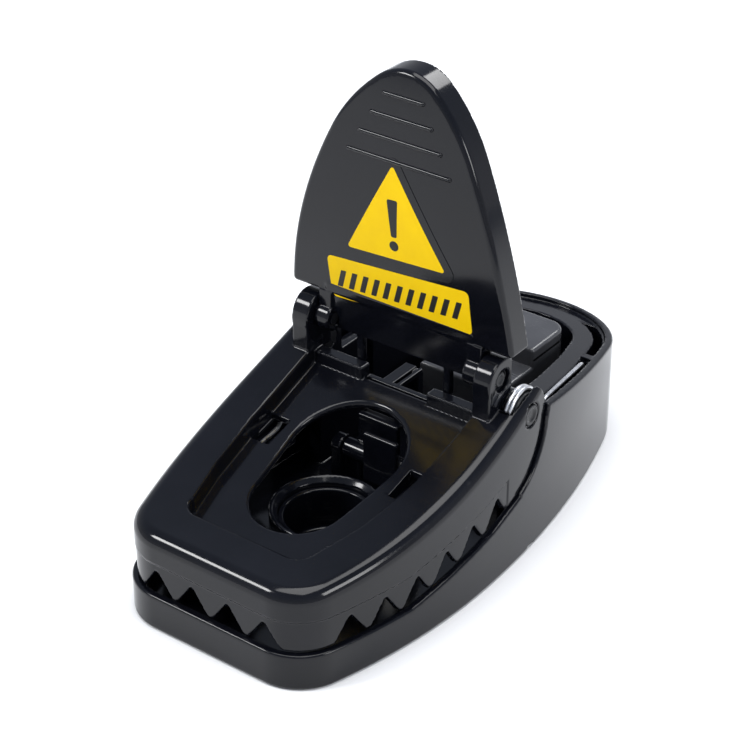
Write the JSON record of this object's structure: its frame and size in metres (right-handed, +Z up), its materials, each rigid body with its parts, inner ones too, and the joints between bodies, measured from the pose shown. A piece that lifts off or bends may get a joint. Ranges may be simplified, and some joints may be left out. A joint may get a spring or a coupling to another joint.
{
  "type": "snap mouse trap",
  "caption": "Bullet-shaped snap trap with a hinged toothed upper jaw, torsion springs, an upright set lever, a bait cup and a swinging trigger",
  "frame": {"origin": "on the flat underside, straight below the jaw's hinge axis, in the middle of the width", "axes": "+X to the right side, -Y to the toothed front, +Z up; the trap is closed with its set lever upright"},
  "size_m": [0.0652, 0.1323, 0.1045],
  "materials": {
    "black_plastic": "gloss",
    "pin_plastic": "satin",
    "spring_steel": "gloss",
    "yellow_label": "satin"
  },
  "bodies": {
    "base": {"base_shell": "black_plastic", "rear_insert": "black_plastic", "hinge_pin_left": "pin_plastic", "hinge_pin_right": "pin_plastic", "spring_left": "spring_steel", "spring_right": "spring_steel", "spring_bush_left": "pin_plastic", "spring_bush_right": "pin_plastic", "trigger_axle": "spring_steel"},
    "jaw": {"upper_jaw": "black_plastic", "lever_pin_left": "pin_plastic", "lever_pin_right": "pin_plastic"},
    "lever": {"set_lever": "black_plastic", "warning_triangle": "yellow_label", "warning_strip": "yellow_label"},
    "trigger": {"trigger": "black_plastic"},
    "bait_cup": {"bait_cup": "black_plastic"}
  },
  "joints": [
    {"name": "jaw_open", "type": "hinge", "parent": "base", "child": "jaw", "pos_m": [0, 0, 0.0335], "axis": [-1, 0, 0], "range_deg": [0, 94], "stiffness_Nm_per_rad": 0.2, "springref_deg": -68.75, "deforming": ["spring_left", "spring_right"]},
    {"name": "lever_fold", "type": "hinge", "parent": "jaw", "child": "lever", "pos_m": [0, -0.0044, 0.0425], "axis": [1, 0, 0], "range_deg": [0, 105]},
    {"name": "trigger_swing", "type": "hinge", "parent": "base", "child": "trigger", "pos_m": [0, -0.0135, 0.018], "axis": [1, 0, 0], "range_deg": [-8.5, 4]},
    {"name": "bait_cup_twist", "type": "hinge", "parent": "base", "child": "bait_cup", "pos_m": [0, -0.0309, 0], "axis": [0, 0, 1], "range_deg": [0, 45]}
  ]
}
